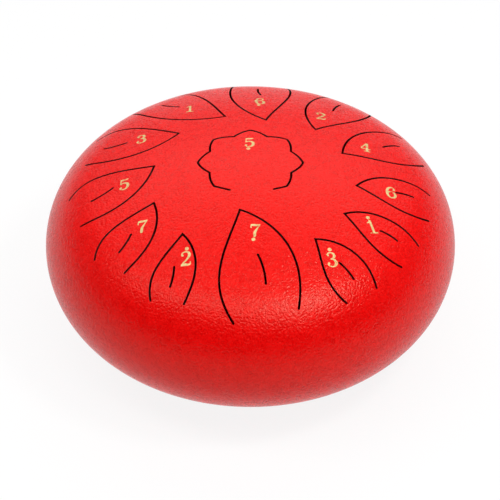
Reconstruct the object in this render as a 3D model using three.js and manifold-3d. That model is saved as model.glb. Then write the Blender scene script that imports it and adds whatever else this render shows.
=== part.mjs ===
// A steel tongue drum: two pressed shells welded rim to rim, a ring of leaf-shaped tongues
// and a lotus tongue cut in the upper one, and four screwed rubber feet under the lower one.
// Millimetres, +Z up. The origin is on the drum's axis, at the level that the feet stand on.
import * as THREE from 'three';
import { mergeVertices } from 'three/addons/utils/BufferGeometryUtils.js';
import Module from 'manifold-3d';

// Body: the meridian of each shell is a wide crown arc that runs smoothly into a shoulder arc.
const bodyRadius = 152.5;
const crownRadius = 300;
const shoulderRadius = 58;
const wall = 1.5;
const rimWeldLand = 0.5;
const rimWeldHalfWidth = 0.9;

// Slits: one width for all, cut square to the steel.
const slitWidth = 1.6;

// Leaf tongues, named for their notes. bearing and inset place the middle of the root, in
// degrees from +X and in from the drum's side. turn swings the leaf off the radius. The vein
// slit starts and ends so far from the tip, and its middle lies veinOffset off the leaf's axis.
// rootEnds, where given, replace the ends of the leaf's two sides.
const leafTongues = {
  low7: {
    bearing: -89.9, inset: 19, turn: 5.3, length: 83, width: 56.5,
    veinStart: 38.5, veinEnd: 62.5, veinOffset: 12, rootEnds: [[0.957, 0.6], [1.02, -0.21]],
  },
  high3: {
    bearing: -56.5, inset: 18, turn: 2.5, length: 48, width: 32.5,
    veinStart: 22.5, veinEnd: 38, veinOffset: 5.5,
  },
  high1: {
    bearing: -33, inset: 19, turn: 3, length: 51.5, width: 32,
    veinStart: 26, veinEnd: 40, veinOffset: 7,
  },
  mid6: {
    bearing: -9, inset: 20, turn: 4.5, length: 54, width: 34,
    veinStart: 28, veinEnd: 42, veinOffset: 7,
  },
  mid4: {
    bearing: 20, inset: 19, turn: 5.5, length: 64, width: 42,
    veinStart: 36.5, veinEnd: 53, veinOffset: 8,
  },
  mid2: {
    bearing: 51.5, inset: 19, turn: 8, length: 68.5, width: 42.5,
    veinStart: 38, veinEnd: 55, veinOffset: 8.5,
  },
  low6: {
    bearing: 83.5, inset: 20.5, turn: 4, length: 77, width: 46,
    veinStart: 46, veinEnd: 62, veinOffset: 8,
  },
  mid1: {
    bearing: 122, inset: 19, turn: 12.5, length: 74, width: 45,
    veinStart: 42.5, veinEnd: 60, veinOffset: 9,
  },
  mid3: {
    bearing: 155.5, inset: 22.5, turn: 13.5, length: 66.5, width: 43,
    veinStart: 38, veinEnd: 56, veinOffset: 8.5,
  },
  mid5: {
    bearing: 186.5, inset: 21, turn: 10.5, length: 63, width: 43,
    veinStart: 32, veinEnd: 50.5, veinOffset: 7,
  },
  mid7: {
    bearing: 216.5, inset: 21.5, turn: 13, length: 55, width: 35.5,
    veinStart: 28.5, veinEnd: 45, veinOffset: 6,
  },
  high2: {
    bearing: 241.5, inset: 19.5, turn: 11, length: 50.5, width: 30,
    veinStart: 25.5, veinEnd: 41.5, veinOffset: 4,
  },
};

// The leaf's two sides as Bezier curves from tip to root, in shares of its length and width,
// and how the vein bends, in shares of the width off its offset.
const leafLeftSide = [[0, 0], [0.14, 0.38], [0.46, 0.8], [1, 0.58]];
const leafRightSide = [[0, 0], [0.34, -0.18], [0.69, -0.56], [1, -0.23]];
const veinBend = { start: -0.055, middle: 0.025, end: 0.01 };

// Lotus tongue: pointed petals round the axis. Its root, towards -Y, stays uncut between the
// two petals beside it, whose tips lean in to it. A tuck is how far a point lies inside the
// circle of the other tips.
const petalCount = 8;
const petalTipRadius = 38.3;
const petalCuspRadius = 32;
const petalBulge = 1.2;
const lotusRootBearing = -90;
const lotusRootStart = 27.5;
const lotusRootEnd = -23.8;
const lotusRootTuck = 3.4;
const rootPetalTuck = 0.7;
const rootPetalLean = 1.2;

// Sound hole in the lower shell, its edge turned in.
const soundHoleRadius = 41;
const lipBendRadius = 5;
const lipHeight = 7;

// Feet: rubber bumpers square to the shell, their undersides cut level.
const footCount = 4;
const footCircleRadius = 82;
const footTopRadius = 11;
const footBottomRadius = 9.5;
const footHeight = 13;
const footPadThickness = 5.5;
const footCollar = 2;

// M4 fastening of each foot: pan-head screw, washer under its head, lock nut inside.
const screwRadius = 2;
const screwHeadRadius = 4;
const screwHeadHeight = 2.6;
const screwTail = 1.5;
const washerRadius = 4.8;
const washerThickness = 0.8;
const nutAcrossFlats = 7;
const nutHexHeight = 3.6;
const nutCollarHeight = 1.4;
const nutCollarStep = 0.6;

// Clearances, how far a cutter reaches past what it cuts, and how close two points of one
// mesh lie before they count as one.
const seatClearance = 0.3;
const stackClearance = 0.1;
const shankClearance = 0.25;
const recessClearance = 0.4;
const cutterReach = 3;
const mergeTolerance = 1e-5;

// Facets.
const bodyFacets = 48;
const crownSteps = 4;
const shoulderSteps = 6;
const lipSteps = 3;
const sideSteps = 6;
const veinSteps = 2;
const petalSteps = 2;
const footFacets = 20;
const screwFacets = 12;

// The crown's centre lies below the rim plane on the axis, the shoulder's on the rim plane.
const shoulderCentre = bodyRadius - shoulderRadius;
const crownDrop = Math.sqrt((crownRadius - shoulderRadius) ** 2 - shoulderCentre ** 2);
const blendAngle = Math.atan2(crownDrop, shoulderCentre);

const paint = new THREE.MeshStandardMaterial({ color: 0xe02018, roughness: 0.5, metalness: 0.1 });
const rubber = new THREE.MeshStandardMaterial({ color: 0x18181a, roughness: 0.85, metalness: 0 });
const zinc = new THREE.MeshStandardMaterial({ color: 0xb8bcc0, roughness: 0.35, metalness: 1 });

const wasm = await Module();
wasm.setup();

function toManifold(geometry) {
  const bare = geometry.clone();
  bare.deleteAttribute('normal');
  bare.deleteAttribute('uv');
  const merged = mergeVertices(bare, mergeTolerance);
  return new wasm.Manifold(new wasm.Mesh({
    numProp: 3,
    vertProperties: new Float32Array(merged.attributes.position.array),
    triVerts: new Uint32Array(merged.index.array),
  }));
}

function toGeometry(manifold) {
  const mesh = manifold.getMesh();
  const geometry = new THREE.BufferGeometry();
  geometry.setAttribute('position', new THREE.BufferAttribute(mesh.vertProperties, 3));
  geometry.setIndex(new THREE.BufferAttribute(mesh.triVerts, 1));
  geometry.computeVertexNormals();
  return geometry;
}

function cutAll(geometry, cutters) {
  let solid = toManifold(geometry);
  for (const cutter of cutters) {
    solid = solid.subtract(toManifold(cutter));
  }
  return toGeometry(solid);
}

// A profile of [radius, height] points, anticlockwise, turned about the Z axis.
function revolve(profile, facets) {
  const points = profile.map(([radius, height]) => new THREE.Vector2(radius, height));
  return new THREE.LatheGeometry(points, facets).rotateX(Math.PI / 2);
}

function arc(centreRadius, centreHeight, radius, from, to, steps) {
  return Array.from({ length: steps + 1 }, (_, i) => {
    const angle = from + (to - from) * i / steps;
    return [centreRadius + radius * Math.cos(angle), centreHeight + radius * Math.sin(angle)];
  });
}

// The steel's meridian with the rim plane at height 0 and the crown up. inset 0 is the
// outside and inset wall the inside. It runs from crownAngle on the crown down to rimAngle.
function meridian(inset, crownAngle, rimAngle) {
  const crown = arc(0, -crownDrop, crownRadius - inset, crownAngle, blendAngle, crownSteps);
  const shoulder = arc(shoulderCentre, 0, shoulderRadius - inset, blendAngle, rimAngle, shoulderSteps);
  return [...crown, ...shoulder.slice(1)];
}

// Both shells' rims end in a narrow land and a bevel that makes half of the weld groove.
const weldAngle = Math.asin(rimWeldHalfWidth / shoulderRadius);
const weldRoot = [bodyRadius - wall + rimWeldLand, 0];

function topShellProfile() {
  const inside = meridian(wall, Math.PI / 2, 0);
  const outside = meridian(0, Math.PI / 2, weldAngle);
  inside[0][0] = 0;
  outside[0][0] = 0;
  return [...inside, weldRoot, ...outside.reverse()];
}

// The lower shell is the same pressing upside down, with the sound hole's turned-in lip:
// a quarter bend off the crown and a short straight collar.
function bottomShellProfile() {
  const bendCentreRadius = soundHoleRadius + lipBendRadius;
  const bendAngle = Math.acos(bendCentreRadius / (crownRadius - lipBendRadius));
  const bendCentreHeight = (crownRadius - lipBendRadius) * Math.sin(bendAngle) - crownDrop;
  const outerBend = arc(bendCentreRadius, bendCentreHeight, lipBendRadius, bendAngle, Math.PI, lipSteps);
  const innerBend = arc(
    bendCentreRadius, bendCentreHeight, lipBendRadius - wall, bendAngle, Math.PI, lipSteps);
  const lipEnd = bendCentreHeight - (lipHeight - lipBendRadius);
  const inside = meridian(wall, bendAngle, 0);
  const outside = meridian(0, bendAngle, weldAngle);
  const dome = [
    ...innerBend.reverse(),
    ...inside.slice(1),
    weldRoot,
    ...outside.reverse(),
    ...outerBend.slice(1),
    [soundHoleRadius, lipEnd],
    [soundHoleRadius + wall, lipEnd],
    [...innerBend[0]],
  ];
  return dome.map(([radius, height]) => [radius, -height]).reverse();
}

// Point and outward normal of the upper shell's outside over a plan position.
function onShell(x, y) {
  const radius = Math.hypot(x, y);
  if (radius < crownRadius * Math.cos(blendAngle)) {
    const point = new THREE.Vector3(x, y, Math.sqrt(crownRadius ** 2 - radius ** 2) - crownDrop);
    const normal = new THREE.Vector3(x, y, point.z + crownDrop).normalize();
    return { point, normal };
  }
  const out = radius - shoulderCentre;
  const point = new THREE.Vector3(x, y, Math.sqrt(shoulderRadius ** 2 - out ** 2));
  const normal = new THREE.Vector3(out * x / radius, out * y / radius, point.z).normalize();
  return { point, normal };
}

// A cutter for one slit: a strip that follows a plan path over the shell, square to the
// steel, with mitred corners.
function slitCutter(path) {
  const stations = path.map((p) => onShell(p.x, p.y));
  const sides = stations.slice(1).map((station, i) => {
    const along = station.point.clone().sub(stations[i].point);
    return along.cross(station.normal).normalize();
  });
  const above = cutterReach;
  const below = -(wall + cutterReach);
  const positions = [];
  stations.forEach(({ point, normal }, i) => {
    const before = sides[Math.max(i - 1, 0)];
    const after = sides[Math.min(i, sides.length - 1)];
    const mitre = before.clone().add(after).normalize();
    const reach = slitWidth / 2 / mitre.dot(after);
    for (const [sideways, lift] of [[reach, above], [-reach, above], [-reach, below], [reach, below]]) {
      const corner = point.clone().addScaledVector(mitre, sideways);
      positions.push(...corner.addScaledVector(normal, lift).toArray());
    }
  });
  const faces = [0, 1, 2, 0, 2, 3];
  for (let i = 0; i + 1 < stations.length; i += 1) {
    for (let k = 0; k < 4; k += 1) {
      const a = 4 * i + k;
      const b = 4 * i + (k + 1) % 4;
      faces.push(a, b + 4, b, a, a + 4, b + 4);
    }
  }
  const end = 4 * (stations.length - 1);
  faces.push(end, end + 2, end + 1, end, end + 3, end + 2);
  const cutter = new THREE.BufferGeometry();
  cutter.setAttribute('position', new THREE.Float32BufferAttribute(positions, 3));
  cutter.setIndex(faces);
  return cutter;
}

const radians = THREE.MathUtils.degToRad;

function polar(radius, bearing) {
  return new THREE.Vector2(radius * Math.cos(radians(bearing)), radius * Math.sin(radians(bearing)));
}

// Maps a leaf's own millimetres, along it from the tip and sideways, to the plan.
function leafFrame(leaf) {
  const along = polar(1, leaf.bearing + leaf.turn);
  const across = new THREE.Vector2(-along.y, along.x);
  const tip = polar(bodyRadius - leaf.inset, leaf.bearing).addScaledVector(along, -leaf.length);
  return (x, y) => tip.clone().addScaledVector(along, x).addScaledVector(across, y);
}

function leafSlit(leaf) {
  const place = leafFrame(leaf);
  const [leftEnd, rightEnd] = leaf.rootEnds ?? [leafLeftSide[3], leafRightSide[3]];
  const sidePath = (side, end) => {
    const shares = [...side.slice(0, 3), end];
    const controls = shares.map(([x, y]) => place(x * leaf.length, y * leaf.width));
    return new THREE.CubicBezierCurve(...controls).getPoints(sideSteps);
  };
  const left = sidePath(leafLeftSide, leftEnd);
  const right = sidePath(leafRightSide, rightEnd);
  return slitCutter([...left.reverse(), ...right.slice(1)]);
}

function veinSlit(leaf) {
  const place = leafFrame(leaf);
  const middle = (leaf.veinStart + leaf.veinEnd) / 2;
  const curve = new THREE.QuadraticBezierCurve(
    place(leaf.veinStart, leaf.veinOffset + veinBend.start * leaf.width),
    place(middle, leaf.veinOffset + veinBend.middle * leaf.width),
    place(leaf.veinEnd, leaf.veinOffset + veinBend.end * leaf.width));
  return slitCutter(curve.getPoints(veinSteps));
}

// Walks the petals from one side of the root round to the other: tip, cusp, tip.
function lotusSlit() {
  const pitch = 360 / petalCount;
  const petalEdge = (start, finish) => {
    const middle = start.clone().add(finish).divideScalar(2);
    middle.addScaledVector(middle.clone().normalize(), 2 * petalBulge);
    return new THREE.QuadraticBezierCurve(start, middle, finish).getPoints(petalSteps).slice(1);
  };
  const rootRadius = petalTipRadius - lotusRootTuck;
  const rootPetalRadius = petalTipRadius - rootPetalTuck;
  const firstTip = polar(rootPetalRadius, lotusRootBearing + pitch - rootPetalLean);
  const lastTip = polar(rootPetalRadius, lotusRootBearing - pitch + rootPetalLean);
  const path = [polar(rootRadius, lotusRootBearing + lotusRootStart), firstTip];
  for (let petal = 1; petal < petalCount - 1; petal += 1) {
    const bearing = lotusRootBearing + petal * pitch;
    const cusp = polar(petalCuspRadius, bearing + pitch / 2);
    const tip = petal < petalCount - 2 ? polar(petalTipRadius, bearing + pitch) : lastTip;
    path.push(...petalEdge(path.at(-1), cusp), ...petalEdge(cusp, tip));
  }
  path.push(polar(rootRadius, lotusRootBearing + lotusRootEnd));
  return slitCutter(path);
}

function namedMesh(name, geometry, material) {
  const mesh = new THREE.Mesh(geometry, material);
  mesh.name = name;
  return mesh;
}

// A foot's seat on the lower shell: +Z of its frame points out of the shell, towards the floor.
const footSlope = Math.asin(footCircleRadius / crownRadius);
const footSeatHeight = crownDrop - crownRadius * Math.cos(footSlope);
const rimHeight = footHeight * Math.cos(footSlope) - footSeatHeight;

function footSeat(bearing) {
  const station = new THREE.Group();
  const seat = new THREE.Group();
  seat.position.set(footCircleRadius, 0, footSeatHeight);
  seat.rotation.y = Math.PI - footSlope;
  station.rotation.z = bearing;
  station.add(seat);
  return { station, seat };
}

// Every hole that a foot's screw passes.
const boreRadius = screwRadius + shankClearance;

const footBearings = Array.from(
  { length: footCount }, (_, i) => (i + 0.5) * 2 * Math.PI / footCount);

function makeTopShell() {
  const leaves = Object.values(leafTongues);
  const cutters = [...leaves.map(leafSlit), ...leaves.map(veinSlit), lotusSlit()];
  return cutAll(revolve(topShellProfile(), bodyFacets), cutters);
}

function makeBottomShell() {
  const cutters = footBearings.map((bearing) => {
    const { station, seat } = footSeat(bearing);
    station.updateMatrixWorld(true);
    const length = wall + 2 * cutterReach;
    const drill = new THREE.CylinderGeometry(boreRadius, boreRadius, length, screwFacets);
    return drill.rotateX(Math.PI / 2).applyMatrix4(seat.matrixWorld);
  });
  return cutAll(revolve(bottomShellProfile(), bodyFacets), cutters);
}

// The weld bead fills the groove between the two rims and is ground flush outside.
function makeRimWeld() {
  const grooveEdge = [
    shoulderCentre + shoulderRadius * Math.cos(weldAngle),
    shoulderRadius * Math.sin(weldAngle),
  ];
  const lowerEdge = [grooveEdge[0], -grooveEdge[1]];
  return revolve([weldRoot, lowerEdge, [bodyRadius, 0], grooveEdge, weldRoot], bodyFacets);
}

// The foot narrows towards the floor below a straight collar. Its bore takes the screw and
// its recess the head and washer. The cut plane is the floor.
function makeFoot() {
  const recessRadius = washerRadius + recessClearance;
  const taper = (footTopRadius - footBottomRadius) / (footHeight - footCollar);
  const uncutHeight = footHeight + footTopRadius;
  const profile = [
    [boreRadius, seatClearance],
    [boreRadius, footPadThickness],
    [recessRadius, footPadThickness],
    [recessRadius, uncutHeight],
    [footTopRadius - taper * (uncutHeight - footCollar), uncutHeight],
    [footTopRadius, footCollar],
    [footTopRadius, seatClearance],
    [boreRadius, seatClearance],
  ];
  const side = 6 * footTopRadius;
  const floor = new THREE.BoxGeometry(side, side, side)
    .translate(0, 0, side / 2)
    .rotateY(footSlope)
    .translate(0, 0, footHeight);
  return cutAll(revolve(profile.reverse(), footFacets), [floor]);
}

function makeWasher() {
  const under = footPadThickness + stackClearance;
  const over = under + washerThickness;
  return revolve([
    [boreRadius, under],
    [washerRadius, under],
    [washerRadius, over],
    [boreRadius, over],
    [boreRadius, under],
  ], screwFacets);
}

// Pan head towards the floor, shank through foot, shell and nut.
const nutSeat = -(wall + seatClearance);
const nutHeight = nutHexHeight + nutCollarHeight;

function makeScrew() {
  const headSeat = footPadThickness + washerThickness + 2 * stackClearance;
  const tip = nutSeat - nutHeight - screwTail;
  const headEdge = 0.6;
  return revolve([
    [0, tip],
    [screwRadius - headEdge / 2, tip],
    [screwRadius, tip + headEdge / 2],
    [screwRadius, headSeat],
    [screwHeadRadius, headSeat],
    [screwHeadRadius, headSeat + screwHeadHeight - 2 * headEdge],
    [screwHeadRadius - headEdge, headSeat + screwHeadHeight - headEdge / 2],
    [screwHeadRadius - 2 * headEdge, headSeat + screwHeadHeight],
    [0, headSeat + screwHeadHeight],
  ], screwFacets);
}

// A hexagon with a round collar that holds the locking ring.
function makeLockNut() {
  const collarRadius = nutAcrossFlats / 2 - nutCollarStep;
  const circle = (radius) => new THREE.Path().absarc(0, 0, radius, 0, 2 * Math.PI, true);
  const hexagon = new THREE.Shape();
  for (let corner = 0; corner < 6; corner += 1) {
    const angle = corner * Math.PI / 3;
    const reach = nutAcrossFlats / 2 / Math.cos(Math.PI / 6);
    const move = corner === 0 ? 'moveTo' : 'lineTo';
    hexagon[move](reach * Math.cos(angle), reach * Math.sin(angle));
  }
  hexagon.closePath();
  hexagon.holes.push(circle(boreRadius));
  const hex = new THREE.ExtrudeGeometry(
    hexagon, { depth: nutHexHeight, bevelEnabled: false, curveSegments: screwFacets / 2 });
  hex.translate(0, 0, nutSeat - nutHexHeight);
  const overlap = nutHexHeight / 4;
  const collarTop = nutSeat - nutHexHeight + overlap;
  const collarEnd = nutSeat - nutHeight;
  const collar = revolve([
    [boreRadius, collarTop],
    [boreRadius, collarEnd],
    [collarRadius, collarEnd],
    [collarRadius, collarTop],
    [boreRadius, collarTop],
  ], screwFacets);
  return toGeometry(toManifold(hex).add(toManifold(collar)));
}

const drum = new THREE.Group();
const body = new THREE.Group();
body.position.z = rimHeight;
drum.add(body);
body.add(namedMesh('top_shell', makeTopShell(), paint));
body.add(namedMesh('bottom_shell', makeBottomShell(), paint));
body.add(namedMesh('rim_weld', makeRimWeld(), paint));

const footPieces = {
  foot: { geometry: makeFoot(), material: rubber },
  foot_washer: { geometry: makeWasher(), material: zinc },
  foot_screw: { geometry: makeScrew(), material: zinc },
  foot_nut: { geometry: makeLockNut(), material: zinc },
};
footBearings.forEach((bearing, i) => {
  const { station, seat } = footSeat(bearing);
  for (const [piece, { geometry, material }] of Object.entries(footPieces)) {
    seat.add(namedMesh(`${piece}_${i + 1}`, geometry, material));
  }
  body.add(station);
});

export default drum;
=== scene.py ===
import math

import bmesh
import bpy
from mathutils import Matrix, Vector
from mathutils.geometry import interpolate_bezier


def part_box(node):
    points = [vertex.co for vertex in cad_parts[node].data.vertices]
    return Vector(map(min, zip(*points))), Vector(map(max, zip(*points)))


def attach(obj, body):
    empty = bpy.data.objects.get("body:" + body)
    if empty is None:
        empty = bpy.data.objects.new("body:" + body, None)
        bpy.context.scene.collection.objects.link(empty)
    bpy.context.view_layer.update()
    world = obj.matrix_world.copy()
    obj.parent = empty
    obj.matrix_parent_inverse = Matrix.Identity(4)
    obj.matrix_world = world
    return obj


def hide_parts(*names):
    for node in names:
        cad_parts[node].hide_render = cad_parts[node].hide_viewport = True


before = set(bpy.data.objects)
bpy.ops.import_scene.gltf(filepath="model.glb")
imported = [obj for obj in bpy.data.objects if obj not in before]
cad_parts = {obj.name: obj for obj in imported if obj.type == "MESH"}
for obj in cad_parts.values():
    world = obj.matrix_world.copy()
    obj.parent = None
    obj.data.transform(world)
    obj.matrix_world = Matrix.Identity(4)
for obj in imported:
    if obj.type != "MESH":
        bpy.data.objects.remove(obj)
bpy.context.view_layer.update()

# Camera. A long lens in front of the drum, looking down on it from about 41 degrees and aimed
# at the drum's axis a little below the rim.
camera_elevation = math.radians(40.86)
camera_distance = 1.9
camera_aim_height = 0.069
camera_lens = 182.5
camera_shift = -0.0009

camera = bpy.data.cameras.new("camera")
camera.lens = camera_lens
camera.shift_x = camera_shift
camera.clip_end = 20
camera_stand = bpy.data.objects.new("camera", camera)
camera_stand.location = (
    0,
    -camera_distance * math.cos(camera_elevation),
    camera_aim_height + camera_distance * math.sin(camera_elevation),
)
camera_stand.rotation_euler = (math.pi / 2 - camera_elevation, 0, 0)
bpy.context.scene.collection.objects.link(camera_stand)
bpy.context.scene.camera = camera_stand

# Upper shell. A pressing of 1.5 mm steel: a wide crown that runs smoothly into a tight
# shoulder. Its thirteen tongues are cut free by slits, and it is welded to the lower shell
# at the rim before the whole body is powder coated red.
rim_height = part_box("top_shell")[0].z
body_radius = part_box("rim_weld")[1].x
crown_radius = 0.300
shoulder_radius = 0.058
wall = 0.0015
weld_land = 0.0005
weld_half_width = 0.0009
turned_steps = 192
outside_steps = 30
inside_steps = 12
sharp_angle = math.radians(30)
inward = -0.5

shoulder_centre = body_radius - shoulder_radius
crown_drop = math.sqrt((crown_radius - shoulder_radius) ** 2 - shoulder_centre ** 2)
blend_angle = math.atan2(crown_drop, shoulder_centre)
weld_angle = math.asin(weld_half_width / shoulder_radius)
weld_root = Vector((body_radius - wall + weld_land, 0, 0))


def half_section(points):
    """Pairs of radius and height as points in the XZ plane."""
    return [Vector((radius, 0, height)) for radius, height in points]


def arc(centre_radius, centre_height, radius, start, stop, steps):
    """Points of a half section's arc, in the XZ plane."""
    angles = [start + (stop - start) * i / steps for i in range(steps + 1)]
    return half_section(
        (centre_radius + radius * math.cos(angle), centre_height + radius * math.sin(angle))
        for angle in angles)


def shell_line(inset, crown_angle, rim_angle, steps):
    """The steel's half section at a depth under its outside, from the crown to the rim."""
    crown = arc(0, -crown_drop, crown_radius - inset, crown_angle, blend_angle, steps)
    shoulder = arc(shoulder_centre, 0, shoulder_radius - inset, blend_angle, rim_angle, steps)
    return crown + shoulder[1:]


def turned(section, steps, closed=True):
    """A bmesh turned from a half section about the Z axis. An open section ends on the axis."""
    shape = bmesh.new()
    corners = [shape.verts.new(point) for point in section]
    ends = corners[1:] + corners[:1] if closed else corners[1:]
    sides = [shape.edges.new(pair) for pair in zip(corners, ends)]
    bmesh.ops.spin(
        shape, geom=corners + sides, cent=(0, 0, 0), axis=(0, 0, 1),
        angle=2 * math.pi, steps=steps, use_merge=True)
    bmesh.ops.remove_doubles(shape, verts=shape.verts, dist=1e-6)
    bmesh.ops.recalc_face_normals(shape, faces=shape.faces)
    return shape


def piece_of(shape, name, finishes):
    """Makes an object of a bmesh, in its place on the drum, with its finishes as slots."""
    mesh = bpy.data.meshes.new(name)
    shape.to_mesh(mesh)
    shape.free()
    for finish in finishes:
        mesh.materials.append(finish)
    piece = bpy.data.objects.new(name, mesh)
    bpy.context.scene.collection.objects.link(piece)
    return piece


def shade(piece):
    """Smooth faces with sharp edges past an angle, the large faces setting the normals."""
    piece.data.shade_smooth()
    piece.data.set_sharp_from_angle(angle=sharp_angle)
    weighted = piece.modifiers.new("weighted_normals", "WEIGHTED_NORMAL")
    weighted.keep_sharp = True


def carve(piece, tool, operation, self_crossing=False):
    """Cuts or trims a piece with a tool object and puts the result in the piece's mesh."""
    cut = piece.modifiers.new("cut", "BOOLEAN")
    cut.operation = operation
    cut.solver = "EXACT"
    cut.use_self = self_crossing
    cut.object = tool
    bpy.context.view_layer.update()
    before = piece.data
    evaluated = piece.evaluated_get(bpy.context.evaluated_depsgraph_get())
    piece.data = bpy.data.meshes.new_from_object(evaluated)
    piece.modifiers.clear()
    bpy.data.meshes.remove(before)


def swept(shape, section, stations):
    """Extrudes a flat section from station to station. A station is the matrix of its place."""
    corners = [shape.verts.new(stations[0] @ corner) for corner in section]
    end = shape.faces.new(corners)
    for before, after in zip(stations, stations[1:]):
        grown = bmesh.ops.extrude_face_region(shape, geom=[end, *end.edges])["geom"]
        verts = [item for item in grown if isinstance(item, bmesh.types.BMVert)]
        end = next(item for item in grown if isinstance(item, bmesh.types.BMFace))
        bmesh.ops.transform(shape, matrix=after @ before.inverted(), verts=verts)


def node(tree, kind, inputs=(), **settings):
    """Adds a shader node. An input is a value or another node's output."""
    added = tree.nodes.new(kind)
    for setting, value in settings.items():
        setattr(added, setting, value)
    for socket, value in dict(inputs).items():
        if isinstance(value, bpy.types.NodeSocket):
            tree.links.new(value, added.inputs[socket])
        else:
            added.inputs[socket].default_value = value
    return added


def maths(tree, operation, first, second):
    """One step of arithmetic on two values, each a number or another node's output."""
    return node(tree, "ShaderNodeMath", {0: first, 1: second}, operation=operation).outputs[0]


def spread(tree, value, reach, levels, curve="LINEAR"):
    """Turns a value's reach into a value between two levels."""
    return node(tree, "ShaderNodeMapRange", {
        "Value": value, "From Min": reach[0], "From Max": reach[1],
        "To Min": levels[0], "To Max": levels[1]}, interpolation_type=curve).outputs["Result"]


def ramp(tree, mask, stops):
    """A colour ramp over a mask. Each stop is a place and a colour."""
    colours = node(tree, "ShaderNodeValToRGB", {"Fac": mask})
    elements = colours.color_ramp.elements
    for element, (place, colour) in zip(elements, stops):
        element.position = place
        element.color = (*colour, 1)
    for place, colour in stops[2:]:
        elements.new(place).color = (*colour, 1)
    return colours.outputs["Color"]


def new_finish(name):
    """An empty material with its node tree, ready for one Principled shader."""
    finish = bpy.data.materials.new(name)
    finish.use_nodes = True
    finish.node_tree.nodes.clear()
    return finish, finish.node_tree


def output(tree, shader):
    node(tree, "ShaderNodeOutputMaterial", {"Surface": shader})


drift_scale = 0.28
mottle_reach = (0.35, 0.65)


def make_grain_group():
    """Fine grain of a coat or a moulding: its height, and a mottle for colour and gloss."""
    group = bpy.data.node_groups.new("grain", "ShaderNodeTree")
    group.interface.new_socket("Grain Size", in_out="INPUT", socket_type="NodeSocketFloat")
    group.interface.new_socket("Height", in_out="OUTPUT", socket_type="NodeSocketFloat")
    group.interface.new_socket("Mottle", in_out="OUTPUT", socket_type="NodeSocketFloat")
    size = node(group, "NodeGroupInput").outputs["Grain Size"]
    place = node(group, "ShaderNodeTexCoord").outputs["Object"]
    scale = maths(group, "DIVIDE", 1.0, size)
    pebbles = node(group, "ShaderNodeTexNoise", {
        "Vector": place, "Scale": scale, "Detail": 1.0, "Roughness": 0.5}).outputs["Fac"]
    drifts = node(group, "ShaderNodeTexNoise", {
        "Vector": place, "Scale": maths(group, "MULTIPLY", scale, drift_scale),
        "Detail": 2.0, "Roughness": 0.5}).outputs["Fac"]
    mottle = maths(group, "MULTIPLY", maths(group, "ADD", pebbles, drifts), 0.5)
    node(group, "NodeGroupOutput", {"Height": pebbles, "Mottle": mottle})
    return group


grain_group = make_grain_group()


def grained(tree, size, height):
    """The grain's mottle and the normal that its height gives, both in metres."""
    grain = node(tree, "ShaderNodeGroup", node_tree=grain_group)
    grain.inputs["Grain Size"].default_value = size
    bump = node(tree, "ShaderNodeBump", {"Height": grain.outputs["Height"], "Distance": height})
    return grain.outputs["Mottle"], bump.outputs["Normal"]


def gloss(tree, mottle, low, high):
    """A roughness that changes a little with the mottle."""
    return spread(tree, mottle, mottle_reach, (low, high))


def make_powder_coat():
    """Satin red powder coat with a fine orange peel."""
    finish, tree = new_finish("red_powder_coat")
    mottle, normal = grained(tree, size=0.0016, height=0.0005)
    colour = ramp(tree, mottle, [(0.38, (0.68, 0.0003, 0.0006)), (0.62, (0.80, 0.0008, 0.0012))])
    paint = node(tree, "ShaderNodeBsdfPrincipled", {
        "Base Color": colour, "Roughness": gloss(tree, mottle, 0.25, 0.32), "Normal": normal})
    paint.inputs["Specular IOR Level"].default_value = 0.25
    paint.inputs["Specular Tint"].default_value = (1.0, 0.80, 0.62, 1)
    output(tree, paint.outputs[0])
    return finish


def make_steel_and_painted_shade():
    """Uncoated steel inside the body and in the slits, near black: partly the steel's own dark
    oxide, partly painted shade of the hollow.
    """
    finish, tree = new_finish("steel_and_painted_shade")
    mottle, normal = grained(tree, size=0.0012, height=0.00005)
    # Partly painted shade: the steel's colour is set near black so that the hollow behind the
    # slits reads dark.
    colour = ramp(tree, mottle, [(0.40, (0.009, 0.008, 0.008)), (0.60, (0.022, 0.019, 0.018))])
    steel = node(tree, "ShaderNodeBsdfPrincipled", {
        "Base Color": colour, "Roughness": gloss(tree, mottle, 0.55, 0.75), "Normal": normal})
    steel.inputs["Specular IOR Level"].default_value = 0.2
    output(tree, steel.outputs[0])
    return finish


powder_coat = make_powder_coat()
steel_and_painted_shade = make_steel_and_painted_shade()

# Slits. Each is 1.6 mm wide, cut square to the steel, with round ends and with upper edges
# that the coat rounds a little. One tool holds them all and leaves a bare wall, near black as
# partly painted shade.
slit_width = 0.0016
slit_edge_round = 0.00008
slit_edge_bow = 0.3
slit_end_turns = (0.25, 0.8, math.pi / 2)
cutter_reach = 0.003


def on_shell(x, y):
    """The point and the outward normal of the outside above a plan position."""
    radius = math.hypot(x, y)
    if radius < crown_radius * math.cos(blend_angle):
        rise = math.sqrt(crown_radius ** 2 - radius ** 2)
        return Vector((x, y, rise - crown_drop)), Vector((x, y, rise)).normalized()
    out = radius - shoulder_centre
    rise = math.sqrt(shoulder_radius ** 2 - out ** 2)
    normal = Vector((out * x / radius, out * y / radius, rise)).normalized()
    return Vector((x, y, rise)), normal


def slit_section():
    """Half a slit wide on each side, flared at the steel's surface. X is across, Y is out."""
    half = slit_width / 2
    flare = slit_edge_round
    side = [
        (half + flare, cutter_reach),
        (half + flare, 0),
        (half + slit_edge_bow * flare, -slit_edge_bow * flare),
        (half, -flare),
        (half, -wall - cutter_reach),
    ]
    right = [Vector((across, out, 0)) for across, out in side]
    left = [Vector((-across, out, 0)) for across, out in reversed(side)]
    return right + left


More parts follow.
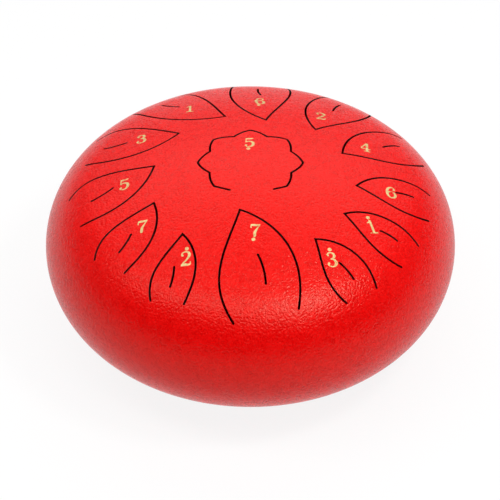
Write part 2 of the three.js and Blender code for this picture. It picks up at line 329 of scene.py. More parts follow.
def slit_stations(path):
    """Stations along a plan path, mitred at its corners and narrowing round at its ends."""
    half = slit_width / 2
    start_way = (path[1] - path[0]).normalized()
    end_way = (path[-2] - path[-1]).normalized()
    reach = [half * (1 - math.cos(turn)) for turn in slit_end_turns]
    shares = [math.sin(turn) for turn in slit_end_turns]
    points = [path[0] + start_way * d for d in reach] + path[1:-1]
    points += [path[-1] + end_way * d for d in reversed(reach)]
    widths = shares + [1.0] * (len(path) - 2) + shares[::-1]
    places = [on_shell(*point) for point in points]
    ways = [(b[0] - a[0]).normalized() for a, b in zip(places, places[1:])]
    sides = [way.cross(normal).normalized() for way, (_, normal) in zip(ways, places[1:])]
    stations = []
    for i, ((point, normal), width) in enumerate(zip(places, widths)):
        before = sides[max(i - 1, 0)]
        after = sides[min(i, len(sides) - 1)]
        mitre = (before + after).normalized()
        across = mitre * (width / mitre.dot(after))
        along = normal.cross(mitre)
        stations.append(Matrix((
            (across.x, normal.x, along.x, point.x),
            (across.y, normal.y, along.y, point.y),
            (across.z, normal.z, along.z, point.z),
            (0, 0, 0, 1))))
    return stations


def bezier(controls, steps):
    return interpolate_bezier(*controls, steps + 1)


def bowed(start, middle, stop, steps):
    """A quadratic curve, raised to a cubic one."""
    return bezier([start, (start + middle * 2) / 3, (stop + middle * 2) / 3, stop], steps)


def polar(radius, bearing):
    angle = math.radians(bearing)
    return Vector((radius * math.cos(angle), radius * math.sin(angle)))


# Leaf tongues, named for their notes. bearing and inset place the middle of the root, in
# degrees from +X and in from the drum's side. turn swings the leaf off the radius. The vein
# slit runs between two distances from the tip, and its middle lies vein_offset off the axis.
# root_ends, where given, replace the ends of the leaf's two sides.
leaf_tongues = {
    "low7": dict(bearing=-89.9, inset=0.019, turn=5.3, length=0.083, width=0.0565,
                 vein=(0.0385, 0.0625), vein_offset=0.012,
                 root_ends=((0.957, 0.6), (1.02, -0.21))),
    "high3": dict(bearing=-56.5, inset=0.018, turn=2.5, length=0.048, width=0.0325,
                  vein=(0.0225, 0.038), vein_offset=0.0055),
    "high1": dict(bearing=-33, inset=0.019, turn=3, length=0.0515, width=0.032,
                  vein=(0.026, 0.04), vein_offset=0.007),
    "mid6": dict(bearing=-9, inset=0.020, turn=4.5, length=0.054, width=0.034,
                 vein=(0.028, 0.042), vein_offset=0.007),
    "mid4": dict(bearing=20, inset=0.019, turn=5.5, length=0.064, width=0.042,
                 vein=(0.0365, 0.053), vein_offset=0.008),
    "mid2": dict(bearing=51.5, inset=0.019, turn=8, length=0.0685, width=0.0425,
                 vein=(0.038, 0.055), vein_offset=0.0085),
    "low6": dict(bearing=83.5, inset=0.0205, turn=4, length=0.077, width=0.046,
                 vein=(0.046, 0.062), vein_offset=0.008),
    "mid1": dict(bearing=122, inset=0.019, turn=12.5, length=0.074, width=0.045,
                 vein=(0.0425, 0.06), vein_offset=0.009),
    "mid3": dict(bearing=155.5, inset=0.0225, turn=13.5, length=0.0665, width=0.043,
                 vein=(0.038, 0.056), vein_offset=0.0085),
    "mid5": dict(bearing=186.5, inset=0.021, turn=10.5, length=0.063, width=0.043,
                 vein=(0.032, 0.0505), vein_offset=0.007),
    "mid7": dict(bearing=216.5, inset=0.0215, turn=13, length=0.055, width=0.0355,
                 vein=(0.0285, 0.045), vein_offset=0.006),
    "high2": dict(bearing=241.5, inset=0.0195, turn=11, length=0.0505, width=0.030,
                  vein=(0.0255, 0.0415), vein_offset=0.004),
}

# The leaf's two sides from tip to root and the bend of its vein, in shares of its length
# and width.
leaf_left_side = [(0, 0), (0.14, 0.38), (0.46, 0.8), (1, 0.58)]
leaf_right_side = [(0, 0), (0.34, -0.18), (0.69, -0.56), (1, -0.23)]
vein_bend = (-0.055, 0.025, 0.01)
side_steps = 26
vein_steps = 8


def leaf_frame(leaf):
    """Maps metres along a leaf from its tip and sideways to the plan."""
    along = polar(1, leaf["bearing"] + leaf["turn"])
    across = Vector((-along.y, along.x))
    tip = polar(body_radius - leaf["inset"], leaf["bearing"]) - along * leaf["length"]
    return lambda x, y: tip + along * x + across * y


def leaf_path(leaf):
    """From the root along the left side to the tip, then along the right side to the root."""
    place = leaf_frame(leaf)
    ends = leaf.get("root_ends", (leaf_left_side[3], leaf_right_side[3]))
    sides = [
        bezier(
            [place(x * leaf["length"], y * leaf["width"]) for x, y in (*side[:3], end)],
            side_steps)
        for side, end in zip((leaf_left_side, leaf_right_side), ends)
    ]
    return sides[0][::-1] + sides[1][1:]


def vein_path(leaf):
    """A shallow bow beside the leaf's axis."""
    place = leaf_frame(leaf)
    start, end = leaf["vein"]
    stations = (start, (start + end) / 2, end)
    knots = [
        place(x, leaf["vein_offset"] + bend * leaf["width"])
        for x, bend in zip(stations, vein_bend)
    ]
    return bowed(*knots, vein_steps)


# Lotus tongue: pointed petals round the axis. Its root, towards -Y, stays uncut between the
# two petals beside it, whose tips lean in to it.
petal_count = 8
petal_tip_radius = 0.0383
petal_cusp_radius = 0.032
petal_bulge = 0.0012
lotus_root_bearing = -90
lotus_root_start = 27.5
lotus_root_end = -23.8
lotus_root_tuck = 0.0034
root_petal_tuck = 0.0007
root_petal_lean = 1.2
petal_steps = 7


def lotus_path():
    """Round the petals from one side of the root to the other: tip, cusp, tip."""
    pitch = 360 / petal_count
    root_radius = petal_tip_radius - lotus_root_tuck
    root_petal_radius = petal_tip_radius - root_petal_tuck
    tips = [polar(root_petal_radius, lotus_root_bearing + pitch - root_petal_lean)]
    for petal in range(2, petal_count - 1):
        tips.append(polar(petal_tip_radius, lotus_root_bearing + petal * pitch))
    tips.append(polar(root_petal_radius, lotus_root_bearing - pitch + root_petal_lean))
    path = [polar(root_radius, lotus_root_bearing + lotus_root_start), tips[0]]
    for petal, (tip, next_tip) in enumerate(zip(tips, tips[1:]), start=1):
        cusp = polar(petal_cusp_radius, lotus_root_bearing + (petal + 0.5) * pitch)
        for start, stop in ((tip, cusp), (cusp, next_tip)):
            middle = (start + stop) / 2
            middle += middle.normalized() * 2 * petal_bulge
            path += bowed(start, middle, stop, petal_steps)[1:]
    path.append(polar(root_radius, lotus_root_bearing + lotus_root_end))
    return path


def make_slit_tool():
    """All the slits as one tool. Its deep sides leave the bare wall of the cut, near black as
    partly painted shade.
    """
    shape = bmesh.new()
    section = slit_section()
    paths = [lotus_path()]
    for leaf in leaf_tongues.values():
        paths += [leaf_path(leaf), vein_path(leaf)]
    for path in paths:
        swept(shape, section, slit_stations(path))
    bmesh.ops.recalc_face_normals(shape, faces=shape.faces)
    for face in shape.faces:
        centre = face.calc_center_median()
        point, normal = on_shell(centre.x, centre.y)
        if (centre - point).dot(normal) < -2 * slit_edge_round:
            face.material_index = 1
    bmesh.ops.translate(shape, verts=shape.verts, vec=(0, 0, rim_height))
    return piece_of(shape, "slit_tool", [powder_coat, steel_and_painted_shade])


def finish_inside(shape):
    """Gives the walls that face the hollow the second finish, near black as partly painted shade.
    The dome stands on the rim.
    """
    for face in shape.faces:
        centre = face.calc_center_median()
        if face.normal.dot(on_shell(centre.x, centre.y)[1]) < inward:
            face.material_index = 1


def make_upper_shell():
    """Both faces of the steel from the crown, where they close on the axis, to the rim."""
    inside = shell_line(wall, math.pi / 2, 0, inside_steps)
    outside = shell_line(0, math.pi / 2, weld_angle, outside_steps)
    inside[0].x = 0
    outside[0].x = 0
    shape = turned(inside + [weld_root] + outside[::-1], turned_steps, closed=False)
    finish_inside(shape)
    bmesh.ops.translate(shape, verts=shape.verts, vec=(0, 0, rim_height))
    return piece_of(shape, "upper_shell", [powder_coat, steel_and_painted_shade])


upper_shell = make_upper_shell()
slit_tool = make_slit_tool()
carve(upper_shell, slit_tool, "DIFFERENCE")
bpy.data.objects.remove(slit_tool)
shade(upper_shell)
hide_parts("top_shell")
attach(upper_shell, "root")

# Weld bead. It fills the groove between the two rims and is ground flush, so that under the
# coat no seam shows.
groove_edge = Vector((
    shoulder_centre + shoulder_radius * math.cos(weld_angle),
    0,
    shoulder_radius * math.sin(weld_angle)))
bead_crown = Vector((body_radius, 0, 0))


def make_weld_bead():
    below = Vector((groove_edge.x, 0, -groove_edge.z))
    shape = turned([weld_root, below, bead_crown, groove_edge], turned_steps)
    bmesh.ops.translate(shape, verts=shape.verts, vec=(0, 0, rim_height))
    return piece_of(shape, "weld_bead", [powder_coat])


weld_bead = make_weld_bead()
shade(weld_bead)
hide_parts("rim_weld")
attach(weld_bead, "root")

# Lower shell. The same pressing upside down, with a sound hole whose edge is turned in and
# a drilled hole for each foot's screw.
sound_hole_radius = 0.041
lip_bend_radius = 0.005
lip_height = 0.007
lip_steps = 10
foot_count = 4
foot_circle_radius = 0.082
foot_height = 0.013
screw_radius = 0.002
shank_clearance = 0.00025
bore_sides = 32

bore_radius = screw_radius + shank_clearance
foot_slope = math.asin(foot_circle_radius / crown_radius)
foot_seat_height = crown_drop - crown_radius * math.cos(foot_slope)
foot_bearings = [(i + 0.5) * 2 * math.pi / foot_count for i in range(foot_count)]


def foot_seat(bearing):
    """A foot's own frame on the lower shell: its Z points out of the shell, to the floor."""
    body = Matrix.Translation((0, 0, rim_height)) @ Matrix.Rotation(bearing, 4, "Z")
    seat = Matrix.Translation((foot_circle_radius, 0, foot_seat_height))
    return body @ seat @ Matrix.Rotation(math.pi - foot_slope, 4, "Y")


def make_lower_shell():
    """Drawn as a dome that stands on the rim, then turned upside down."""
    bend_radius = sound_hole_radius + lip_bend_radius
    bend_angle = math.acos(bend_radius / (crown_radius - lip_bend_radius))
    bend_height = (crown_radius - lip_bend_radius) * math.sin(bend_angle) - crown_drop
    lip_end = bend_height - (lip_height - lip_bend_radius)
    outer_bend = arc(bend_radius, bend_height, lip_bend_radius, bend_angle, math.pi, lip_steps)
    inner_bend = arc(
        bend_radius, bend_height, lip_bend_radius - wall, bend_angle, math.pi, lip_steps)
    inside = shell_line(wall, bend_angle, 0, inside_steps)
    outside = shell_line(0, bend_angle, weld_angle, outside_steps)
    lip = [Vector((sound_hole_radius, 0, lip_end)), Vector((sound_hole_radius + wall, 0, lip_end))]
    section = inner_bend[::-1] + inside[1:] + [weld_root] + outside[::-1] + outer_bend[1:] + lip
    shape = turned(section, turned_steps)
    finish_inside(shape)
    bmesh.ops.scale(shape, verts=shape.verts, vec=(1, 1, -1))
    bmesh.ops.reverse_faces(shape, faces=shape.faces)
    bmesh.ops.translate(shape, verts=shape.verts, vec=(0, 0, rim_height))
    return piece_of(shape, "lower_shell", [powder_coat, steel_and_painted_shade])


def cylinder(shape, radius, depth, sides):
    """Adds a capped cylinder about the Z axis and gives its vertices."""
    return bmesh.ops.create_cone(
        shape, cap_ends=True, segments=sides, radius1=radius, radius2=radius,
        depth=depth)["verts"]


def make_drill():
    """Four drill cores, one through each foot's seat."""
    shape = bmesh.new()
    for bearing in foot_bearings:
        core = cylinder(shape, bore_radius, 4 * wall, bore_sides)
        bmesh.ops.transform(shape, matrix=foot_seat(bearing), verts=core)
    return piece_of(shape, "drill", [powder_coat, steel_and_painted_shade])


lower_shell = make_lower_shell()
drill = make_drill()
carve(lower_shell, drill, "DIFFERENCE")
bpy.data.objects.remove(drill)
shade(lower_shell)
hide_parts("bottom_shell")
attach(lower_shell, "root")

# Numerals. Pale gold transfers, one on each tongue, with a dot over the high notes' and
# under the low notes'. Each is a thin film that lies on the coat and takes its curve.
numeral_height = 0.0114
numeral_proud = 0.00006
numeral_depth = 0.0004
dot_radius = 0.0014
stroke_steps = 6
stroke_reach = 3.0
disc_sides = 28
film_size = 0.024
film_cells = 12

# Strokes of each numeral as knots of across, up and half the stroke's width, and balls as
# across, up and radius, in shares of the numeral's height. Across is 0 in its middle.
numeral_strokes = {
    1: [[(-0.20, 0.79, 0.033), (-0.08, 0.85, 0.043), (0.03, 0.96, 0.052)],
        [(0.03, 1.00, 0.076), (0.03, 0.50, 0.076), (0.03, 0.02, 0.085)],
        [(-0.23, 0.035, 0.033), (-0.05, 0.045, 0.045), (0.11, 0.045, 0.045),
         (0.29, 0.035, 0.033)]],
    2: [[(-0.27, 0.72, 0.033), (-0.19, 0.91, 0.041), (0.01, 0.97, 0.040), (0.19, 0.88, 0.076),
         (0.22, 0.68, 0.085), (0.06, 0.42, 0.057), (-0.14, 0.22, 0.041), (-0.27, 0.05, 0.033)],
        [(-0.29, 0.06, 0.057), (-0.08, 0.085, 0.085), (0.14, 0.065, 0.066), (0.27, 0.075, 0.047)],
        [(0.26, 0.06, 0.047), (0.29, 0.16, 0.033), (0.30, 0.27, 0.033)]],
    3: [[(-0.25, 0.79, 0.033), (-0.16, 0.93, 0.040), (0.01, 0.97, 0.040), (0.17, 0.89, 0.071),
         (0.20, 0.74, 0.080), (0.11, 0.59, 0.052), (-0.05, 0.54, 0.033)],
        [(-0.05, 0.54, 0.033), (0.14, 0.50, 0.057), (0.25, 0.36, 0.090), (0.24, 0.19, 0.085),
         (0.10, 0.045, 0.047), (-0.07, 0.03, 0.040), (-0.23, 0.11, 0.037), (-0.27, 0.22, 0.033)]],
    4: [[(0.07, 0.96, 0.047), (-0.30, 0.34, 0.040)],
        [(-0.31, 0.315, 0.040), (0.31, 0.315, 0.040)],
        [(0.10, 0.99, 0.076), (0.10, 0.50, 0.080), (0.10, 0.03, 0.080)],
        [(-0.10, 0.035, 0.036), (0.30, 0.035, 0.036)]],
    5: [[(-0.20, 0.92, 0.061), (0.00, 0.92, 0.071), (0.15, 0.935, 0.057), (0.27, 0.975, 0.033)],
        [(-0.19, 0.97, 0.037), (-0.215, 0.54, 0.033)],
        [(-0.22, 0.52, 0.033), (-0.09, 0.61, 0.040), (0.07, 0.62, 0.049), (0.22, 0.52, 0.080),
         (0.26, 0.33, 0.090), (0.18, 0.12, 0.071), (0.00, 0.025, 0.043), (-0.18, 0.06, 0.037),
         (-0.27, 0.19, 0.033)]],
    6: [[(0.24, 0.80, 0.033), (0.13, 0.94, 0.040), (-0.02, 0.965, 0.041), (-0.19, 0.82, 0.071),
         (-0.26, 0.50, 0.090), (-0.21, 0.19, 0.080), (-0.06, 0.035, 0.047), (0.07, 0.035, 0.047),
         (0.21, 0.13, 0.072), (0.26, 0.31, 0.085), (0.19, 0.50, 0.064), (0.05, 0.58, 0.040),
         (-0.10, 0.54, 0.036), (-0.21, 0.42, 0.033)]],
    7: [[(-0.28, 0.68, 0.033), (-0.265, 0.82, 0.043), (-0.24, 0.98, 0.033)],
        [(-0.26, 0.90, 0.061), (-0.10, 0.91, 0.079), (0.08, 0.90, 0.067), (0.30, 0.955, 0.038)],
        [(0.28, 0.93, 0.038), (0.12, 0.66, 0.047), (-0.02, 0.38, 0.080), (-0.05, 0.10, 0.091)]],
}
numeral_balls = {
    2: [(-0.195, 0.735, 0.073)],
    3: [(-0.185, 0.785, 0.069), (-0.195, 0.235, 0.076)],
    5: [(-0.195, 0.195, 0.076)],
    6: [(0.175, 0.785, 0.071)],
    7: [(-0.05, 0.09, 0.079)],
}

# Where each numeral lies on its tongue: its middle in the plan, the lean of its top towards
# -X in degrees, and its dot's place from its middle.
numerals = {
    "low5": dict(value=5, middle=(-0.0009, 0.0216), dot=(-0.0007, -0.0078)),
    "low6": dict(value=6, middle=(0.0072, 0.0873), dot=(-0.0010, -0.0078)),
    "low7": dict(value=7, middle=(0.0035, -0.0694), dot=(-0.0014, -0.0075)),
    "mid1": dict(value=1, middle=(-0.0459, 0.0795)),
    "mid2": dict(value=2, middle=(0.0528, 0.0685)),
    "mid3": dict(value=3, middle=(-0.0813, 0.0427)),
    "mid4": dict(value=4, middle=(0.0852, 0.0327)),
    "mid5": dict(value=5, middle=(-0.0921, -0.0101)),
    "mid6": dict(value=6, middle=(0.1024, -0.0148)),
    "mid7": dict(value=7, middle=(-0.0772, -0.0564)),
    "high1": dict(value=1, middle=(0.0867, -0.0539), lean=18, dot=(-0.0024, 0.0076)),
    "high2": dict(value=2, middle=(-0.0457, -0.0893), dot=(0.0007, 0.0078)),
    "high3": dict(value=3, middle=(0.0573, -0.0883), lean=8, dot=(-0.0013, 0.0078)),
}


def make_gold_film():
    """Pale gold leaf film, slightly rubbed, over the coat's grain."""
    finish, tree = new_finish("gold_film")
    mottle, normal = grained(tree, size=0.0016, height=0.00014)
    colour = ramp(tree, mottle, [
        (0.36, (0.70, 0.12, 0.04)), (0.42, (0.60, 0.45, 0.17)), (0.64, (0.74, 0.57, 0.25))])
    gold = node(tree, "ShaderNodeBsdfPrincipled", {
        "Base Color": colour, "Roughness": gloss(tree, mottle, 0.42, 0.56), "Normal": normal})
    gold.inputs["Metallic"].default_value = 0.2
    output(tree, gold.outputs[0])
    return finish


def smooth_line(knots, steps):
    """A smooth line through knots, whose third number is a width that changes as smoothly."""
    knots = [Vector(knot) for knot in knots]
    padded = [knots[0]] + knots + [knots[-1]]
    line = [knots[0]]
    for before, start, stop, after in zip(padded, padded[1:], padded[2:], padded[3:]):
        controls = [start, start + (stop - before) / 6, stop - (after - start) / 6, stop]
        line += bezier(controls, steps)[1:]
    return line


def upright_stations(line):
    """Stations for a stroke that stands upright on the plan. X runs across it, at its width."""
    stations = []
    for i, knot in enumerate(line):
        way = (line[min(i + 1, len(line) - 1)] - line[max(i - 1, 0)]).to_2d().normalized()
        width = knot.z
        stations.append(Matrix((
            (way.y * width, 0, way.x, knot.x),
            (-way.x * width, 0, way.y, knot.y),
            (0, 1, 0, 0),
            (0, 0, 0, 1))))
    return stations


def make_film_blank(middle):
    """A square of film before its numeral is cut from it, laid on the curve of the shell."""
    shape = bmesh.new()
    bmesh.ops.create_grid(
        shape, x_segments=film_cells, y_segments=film_cells, size=film_size / 2)
    for vert in shape.verts:
        point, normal = on_shell(middle[0] + vert.co.x, middle[1] + vert.co.y)
        vert.co = point + normal * numeral_proud
    under = bmesh.ops.extrude_face_region(
        shape, geom=shape.faces[:] + shape.edges[:])["geom"]
    under = [item for item in under if isinstance(item, bmesh.types.BMVert)]
    bmesh.ops.translate(shape, verts=under, vec=(0, 0, -numeral_proud - numeral_depth))
    bmesh.ops.recalc_face_normals(shape, faces=shape.faces)
    bmesh.ops.translate(shape, verts=shape.verts, vec=(0, 0, rim_height))
    return piece_of(shape, "film_blank", [gold_film])


def make_numeral(name, value, middle, lean=0, dot=None):
    """Upright strokes, balls and dot, to be trimmed to the film."""
    shape = bmesh.new()
    section = [
        Vector((side, height * stroke_reach, 0))
        for side, height in ((1, 1), (1, -1), (-1, -1), (-1, 1))
    ]
    for stroke in numeral_strokes[value]:
        swept(shape, section, upright_stations(smooth_line(stroke, stroke_steps)))
    for across, up, radius in numeral_balls.get(value, ()):
        ball = cylinder(shape, radius, 2 * stroke_reach, disc_sides)
        bmesh.ops.translate(shape, verts=ball, vec=(across, up, 0))
    bmesh.ops.translate(shape, verts=shape.verts, vec=(0, -0.5, 0))
    turn = Matrix.Rotation(math.radians(lean), 4, "Z")
    bmesh.ops.transform(
        shape, matrix=turn @ Matrix.Scale(numeral_height, 4), verts=shape.verts)
    if dot:
        disc = cylinder(shape, dot_radius, 2 * stroke_reach * numeral_height, disc_sides)
        bmesh.ops.translate(shape, verts=disc, vec=(*dot, 0))
    point, _ = on_shell(*middle)
    bmesh.ops.translate(shape, verts=shape.verts, vec=point + Vector((0, 0, rim_height)))
    bmesh.ops.recalc_face_normals(shape, faces=shape.faces)
    return piece_of(shape, "numeral_" + name, [gold_film])


gold_film = make_gold_film()
for name, place in numerals.items():
    numeral = make_numeral(name, **place)
    film_blank = make_film_blank(place["middle"])
    carve(numeral, film_blank, "INTERSECT", self_crossing=True)
    bpy.data.objects.remove(film_blank)
    shade(numeral)
    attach(numeral, "root")

# Feet. Black rubber bumpers, moulded with a short straight collar against the shell and a
# recess for the screw, and level underneath.
foot_top_radius = 0.011
foot_bottom_radius = 0.0095
foot_pad_thickness = 0.0055
foot_collar = 0.002
seat_clearance = 0.0003
recess_clearance = 0.0004
washer_radius = 0.0048
foot_edge_round = 0.0006
foot_steps = 64
corner_angle = math.radians(40)


def make_rubber():
    """Matt black rubber with a fine mould grain and a little dust in it."""
    finish, tree = new_finish("black_rubber")
    mottle, normal = grained(tree, size=0.0005, height=0.00004)
    colour = ramp(tree, mottle, [(0.40, (0.012, 0.012, 0.013)), (0.62, (0.034, 0.033, 0.032))])
    rubber = node(tree, "ShaderNodeBsdfPrincipled", {
        "Base Color": colour, "Roughness": gloss(tree, mottle, 0.62, 0.80), "Normal": normal})
    output(tree, rubber.outputs[0])
    return finish


def rounded_edges(shape, offset, segments=2):
    """Rounds every edge of a bmesh that turns more than an angle."""
    corners = [edge for edge in shape.edges if edge.calc_face_angle(0) > corner_angle]
    bmesh.ops.bevel(
        shape, geom=corners, offset=offset, segments=segments, profile=0.5,
        affect="EDGES", material=-1, clamp_overlap=True)


def make_foot(number, bearing):
    """Turned longer than it is, seated on the shell, then cut off at the floor and capped."""
    recess_radius = washer_radius + recess_clearance
    taper = (foot_top_radius - foot_bottom_radius) / (foot_height - foot_collar)
    uncut = foot_height + foot_top_radius
    section = [
        (bore_radius, seat_clearance),
        (foot_top_radius, seat_clearance),
        (foot_top_radius, foot_collar),
        (foot_top_radius - taper * (uncut - foot_collar), uncut),
        (recess_radius, uncut),
        (recess_radius, foot_pad_thickness),
        (bore_radius, foot_pad_thickness),
    ]
    shape = turned(half_section(section), foot_steps)
    bmesh.ops.transform(shape, matrix=foot_seat(bearing), verts=shape.verts)
    level = bmesh.ops.bisect_plane(
        shape, geom=shape.verts[:] + shape.edges[:] + shape.faces[:],
        plane_co=(0, 0, 0), plane_no=(0, 0, -1), clear_outer=True)["geom_cut"]
    rims = [item for item in level if isinstance(item, bmesh.types.BMEdge)]
    bmesh.ops.bridge_loops(shape, edges=rims)
    bmesh.ops.recalc_face_normals(shape, faces=shape.faces)
    rounded_edges(shape, foot_edge_round, segments=3)
    return piece_of(shape, f"rubber_foot_{number}", [rubber])


rubber = make_rubber()
for number, bearing in enumerate(foot_bearings, start=1):
    foot = make_foot(number, bearing)
    shade(foot)
    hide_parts(f"foot_{number}")
    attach(foot, "root")

# Washers. Plain M4 washers of zinc-plated steel with rolled edges. One lies in each foot's
# recess, under the screw's head.
washer_thickness = 0.0008
stack_clearance = 0.0001
washer_edge_round = 0.00015
washer_steps = 48


def make_zinc():
    """Bright zinc plate, a little uneven in its gloss."""
    finish, tree = new_finish("zinc_plate")
    mottle, normal = grained(tree, size=0.0007, height=0.00001)
    colour = ramp(tree, mottle, [(0.38, (0.52, 0.53, 0.56)), (0.62, (0.68, 0.69, 0.71))])
    zinc = node(tree, "ShaderNodeBsdfPrincipled", {
        "Base Color": colour, "Roughness": gloss(tree, mottle, 0.24, 0.38), "Normal": normal})
    zinc.inputs["Metallic"].default_value = 1.0
    output(tree, zinc.outputs[0])
    return finish


def make_washer(number, bearing):
    under = foot_pad_thickness + stack_clearance
    over = under + washer_thickness
    section = [
        (bore_radius, under),
        (washer_radius, under),
        (washer_radius, over),
        (bore_radius, over),
    ]
    shape = turned(half_section(section), washer_steps)
    rounded_edges(shape, washer_edge_round)
    bmesh.ops.transform(shape, matrix=foot_seat(bearing), verts=shape.verts)
    return piece_of(shape, f"washer_{number}", [zinc])


zinc = make_zinc()
for number, bearing in enumerate(foot_bearings, start=1):
    washer = make_washer(number, bearing)
    shade(washer)
    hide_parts(f"foot_washer_{number}")
    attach(washer, "root")

# Screws. Zinc-plated M4 screws with a pan head and a cross recess, driven up through washer,
# foot and shell into the lock nuts.
screw_head_radius = 0.004
screw_head_height = 0.0026
screw_head_side = 0.55
screw_head_round = 0.0014
screw_head_steps = 6
screw_steps = 40
screw_tail = 0.0015
thread_pitch = 0.0007
thread_depth = 0.0003
nut_hex_height = 0.0036
nut_collar_height = 0.0014
recess_half_width = 0.00055
recess_reach = 0.0023
recess_depth = 0.0017
recess_taper = 0.6

head_seat = foot_pad_thickness + washer_thickness + 2 * stack_clearance
nut_seat = -(wall + seat_clearance)
nut_height = nut_hex_height + nut_collar_height


def make_screw(number, bearing):
    """A turned blank whose head is a flattened dome and whose shank is grooved as threads."""
    tip = nut_seat - nut_height - screw_tail
    groove_radius = screw_radius - thread_depth
    section = [(0, tip), (groove_radius, tip)]
    for turn in range(int((head_seat - tip - thread_pitch) / thread_pitch)):
        height = tip + thread_pitch * (turn + 0.5)
        section += [(screw_radius, height), (groove_radius, height + thread_pitch / 2)]
    rise = screw_head_side * screw_head_height
    section += [
        (groove_radius, head_seat),
        (screw_head_radius, head_seat),
        (screw_head_radius, head_seat + rise),
    ]
    for step in range(1, screw_head_steps + 1):
        angle = step * math.pi / 2 / screw_head_steps
        section.append((
            screw_head_radius - screw_head_round * (1 - math.cos(angle)),
            head_seat + rise + (screw_head_height - rise) * math.sin(angle)))
    section.append((0, head_seat + screw_head_height))
    shape = turned(half_section(section), screw_steps, closed=False)
    bmesh.ops.transform(shape, matrix=foot_seat(bearing), verts=shape.verts)
    return piece_of(shape, f"screw_{number}", [zinc])


def make_driver(bearing):
    """The cross that the recess is struck with: two blades that taper to the recess's floor."""
    shape = bmesh.new()
    for across, along in ((recess_half_width, recess_reach), (recess_reach, recess_half_width)):
        blade = bmesh.ops.create_cube(shape, size=2)["verts"]
        bmesh.ops.scale(shape, verts=blade, vec=(across, along, recess_depth))
        deep = [vert for vert in blade if vert.co.z < 0]
        bmesh.ops.scale(shape, verts=deep, vec=(recess_taper, recess_taper, 1))
        bmesh.ops.translate(shape, verts=blade, vec=(0, 0, head_seat + screw_head_height))
    bmesh.ops.transform(shape, matrix=foot_seat(bearing), verts=shape.verts)
    return piece_of(shape, "driver", [zinc])


for number, bearing in enumerate(foot_bearings, start=1):
    screw = make_screw(number, bearing)
    driver = make_driver(bearing)
    carve(screw, driver, "DIFFERENCE", self_crossing=True)
    bpy.data.objects.remove(driver)
    shade(screw)
    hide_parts(f"foot_screw_{number}")
    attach(screw, "root")

# Lock nuts. Zinc-plated hexagons inside the lower shell, each with a round collar that holds
# a nylon ring.
nut_across_flats = 0.007
nut_collar_step = 0.0006
nut_collar_sink = 0.0009
nut_edge_round = 0.0003
nut_collar_steps = 40


def make_lock_nut(number, bearing):
    """A hexagon with rounded edges, and a round collar that stands a little into it."""
    shape = bmesh.new()
    corner_radius = nut_across_flats / 2 / math.cos(math.pi / 6)
    collar_radius = nut_across_flats / 2 - nut_collar_step
    hexagon = cylinder(shape, corner_radius, nut_hex_height, 6)
    turn = Matrix.Rotation(math.pi / 6, 3, "Z")
    bmesh.ops.rotate(shape, verts=hexagon, cent=(0, 0, 0), matrix=turn)
    bmesh.ops.translate(shape, verts=hexagon, vec=(0, 0, nut_seat - nut_hex_height / 2))
    rounded_edges(shape, nut_edge_round)
    collar_height = nut_collar_height + nut_collar_sink
    collar = cylinder(shape, collar_radius, collar_height, nut_collar_steps)
    bmesh.ops.translate(
        shape, verts=collar, vec=(0, 0, nut_seat - nut_height + collar_height / 2))
    bmesh.ops.transform(shape, matrix=foot_seat(bearing), verts=shape.verts)
    return piece_of(shape, f"lock_nut_{number}", [zinc])


def make_tap(bearing):
    """The nut's bore."""
    shape = bmesh.new()
    bore = cylinder(shape, bore_radius, 3 * nut_height, bore_sides)
    bmesh.ops.transform(shape, matrix=foot_seat(bearing), verts=bore)
    return piece_of(shape, "tap", [zinc])


for number, bearing in enumerate(foot_bearings, start=1):
    lock_nut = make_lock_nut(number, bearing)
    tap = make_tap(bearing)
    carve(lock_nut, tap, "DIFFERENCE", self_crossing=True)
    bpy.data.objects.remove(tap)
    shade(lock_nut)
    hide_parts(f"foot_nut_{number}")
    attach(lock_nut, "root")

# Stage. A white table that keeps the drum's soft shadow and has a painted shade under the drum,
# in a dim room whose wall behind the camera is dark. A long soft light hangs over the front of
# the drum, a small one to its right gives the brightest spot on the shoulder, and a large one
# behind it lifts the crown.
table_size = 12.0
table_white = 0.90
table_glow = 0.88
painted_shade_radius = 0.052
glow_radius = 0.094
wall_level = 0.20
front_wall_level = 0.03
front_wall_reach = (-0.5, 0.2)
ceiling_level = 0.3
ceiling_reach = (0.45, 0.9)


def seen_directly(tree):
    """1 for what the camera sees, also in a reflection or through glass."""
    path = node(tree, "ShaderNodeLightPath")
    seen = path.outputs["Is Camera Ray"]
    for ray in ("Is Glossy Ray", "Is Transmission Ray"):
        seen = maths(tree, "MAXIMUM", seen, path.outputs[ray])
    return seen


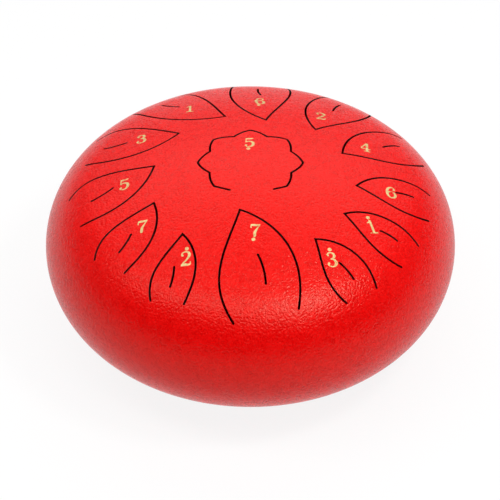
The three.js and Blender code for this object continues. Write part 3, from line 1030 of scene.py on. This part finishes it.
def make_table():
    """White all round, with a painted shade under the drum, so that slits and sound hole show no
    white.
    """
    shape = bmesh.new()
    bmesh.ops.create_grid(shape, x_segments=1, y_segments=1, size=table_size / 2)
    finish, tree = new_finish("white_table")
    glow = node(tree, "ShaderNodeEmission", {"Strength": 1.0})
    place = node(tree, "ShaderNodeTexCoord").outputs["Object"]
    out = node(tree, "ShaderNodeVectorMath", {0: place}, operation="LENGTH").outputs["Value"]
    # Painted shade: the table's white is darkened towards the drum's middle, and loses its glow
    # there.
    clear_of_painted_shade = spread(tree, out, (painted_shade_radius, glow_radius), (0.0, 1.0), "SMOOTHSTEP")
    paint = maths(tree, "MULTIPLY", clear_of_painted_shade, table_white)
    white = node(tree, "ShaderNodeBsdfDiffuse", {"Color": paint})
    share = maths(tree, "MULTIPLY", clear_of_painted_shade, table_glow)
    share = maths(tree, "MULTIPLY", seen_directly(tree), share)
    mixed = node(tree, "ShaderNodeMixShader", {
        0: share, 1: white.outputs[0], 2: glow.outputs[0]})
    output(tree, mixed.outputs[0])
    return piece_of(shape, "table", [finish])


def make_room():
    """Light from all round: dark behind the camera, dim to the sides, paler overhead."""
    world = bpy.data.worlds.new("room")
    world.use_nodes = True
    tree = world.node_tree
    tree.nodes.clear()
    way = node(tree, "ShaderNodeTexCoord").outputs["Generated"]
    parts = node(tree, "ShaderNodeSeparateXYZ", {"Vector": way}).outputs
    walls = spread(
        tree, parts["Y"], front_wall_reach, (front_wall_level, wall_level), "SMOOTHSTEP")
    level = spread(tree, parts["Z"], ceiling_reach, (walls, ceiling_level), "SMOOTHSTEP")
    sky = node(tree, "ShaderNodeBackground", {"Color": (1, 1, 1, 1), "Strength": level})
    node(tree, "ShaderNodeOutputWorld", {"Surface": sky.outputs[0]})
    bpy.context.scene.world = world


def make_softbox(name, way, distance, size, brightness):
    """A flat soft light that faces the drum. Its brightness is what a mirror shows of it."""
    lamp = bpy.data.lights.new(name, "AREA")
    lamp.shape = "RECTANGLE"
    lamp.size, lamp.size_y = size
    lamp.energy = brightness * math.pi * size[0] * size[1]
    box = bpy.data.objects.new(name, lamp)
    way = Vector(way).normalized()
    box.location = Vector((0, 0, rim_height)) + way * distance
    box.rotation_euler = way.to_track_quat("Z", "Y").to_euler()
    bpy.context.scene.collection.objects.link(box)


table = make_table()
make_room()
make_softbox(
    "strip_light", way=(-0.16, -0.36, 0.92), distance=1.5, size=(2.7, 0.42), brightness=4.7)
make_softbox(
    "side_light", way=(0.42, -0.29, 0.86), distance=1.4, size=(0.30, 0.26), brightness=32)
make_softbox(
    "back_light", way=(0, 0.68, 0.73), distance=1.7, size=(2.3, 1.4), brightness=1.4)
bpy.context.scene.view_settings.view_transform = "Standard"
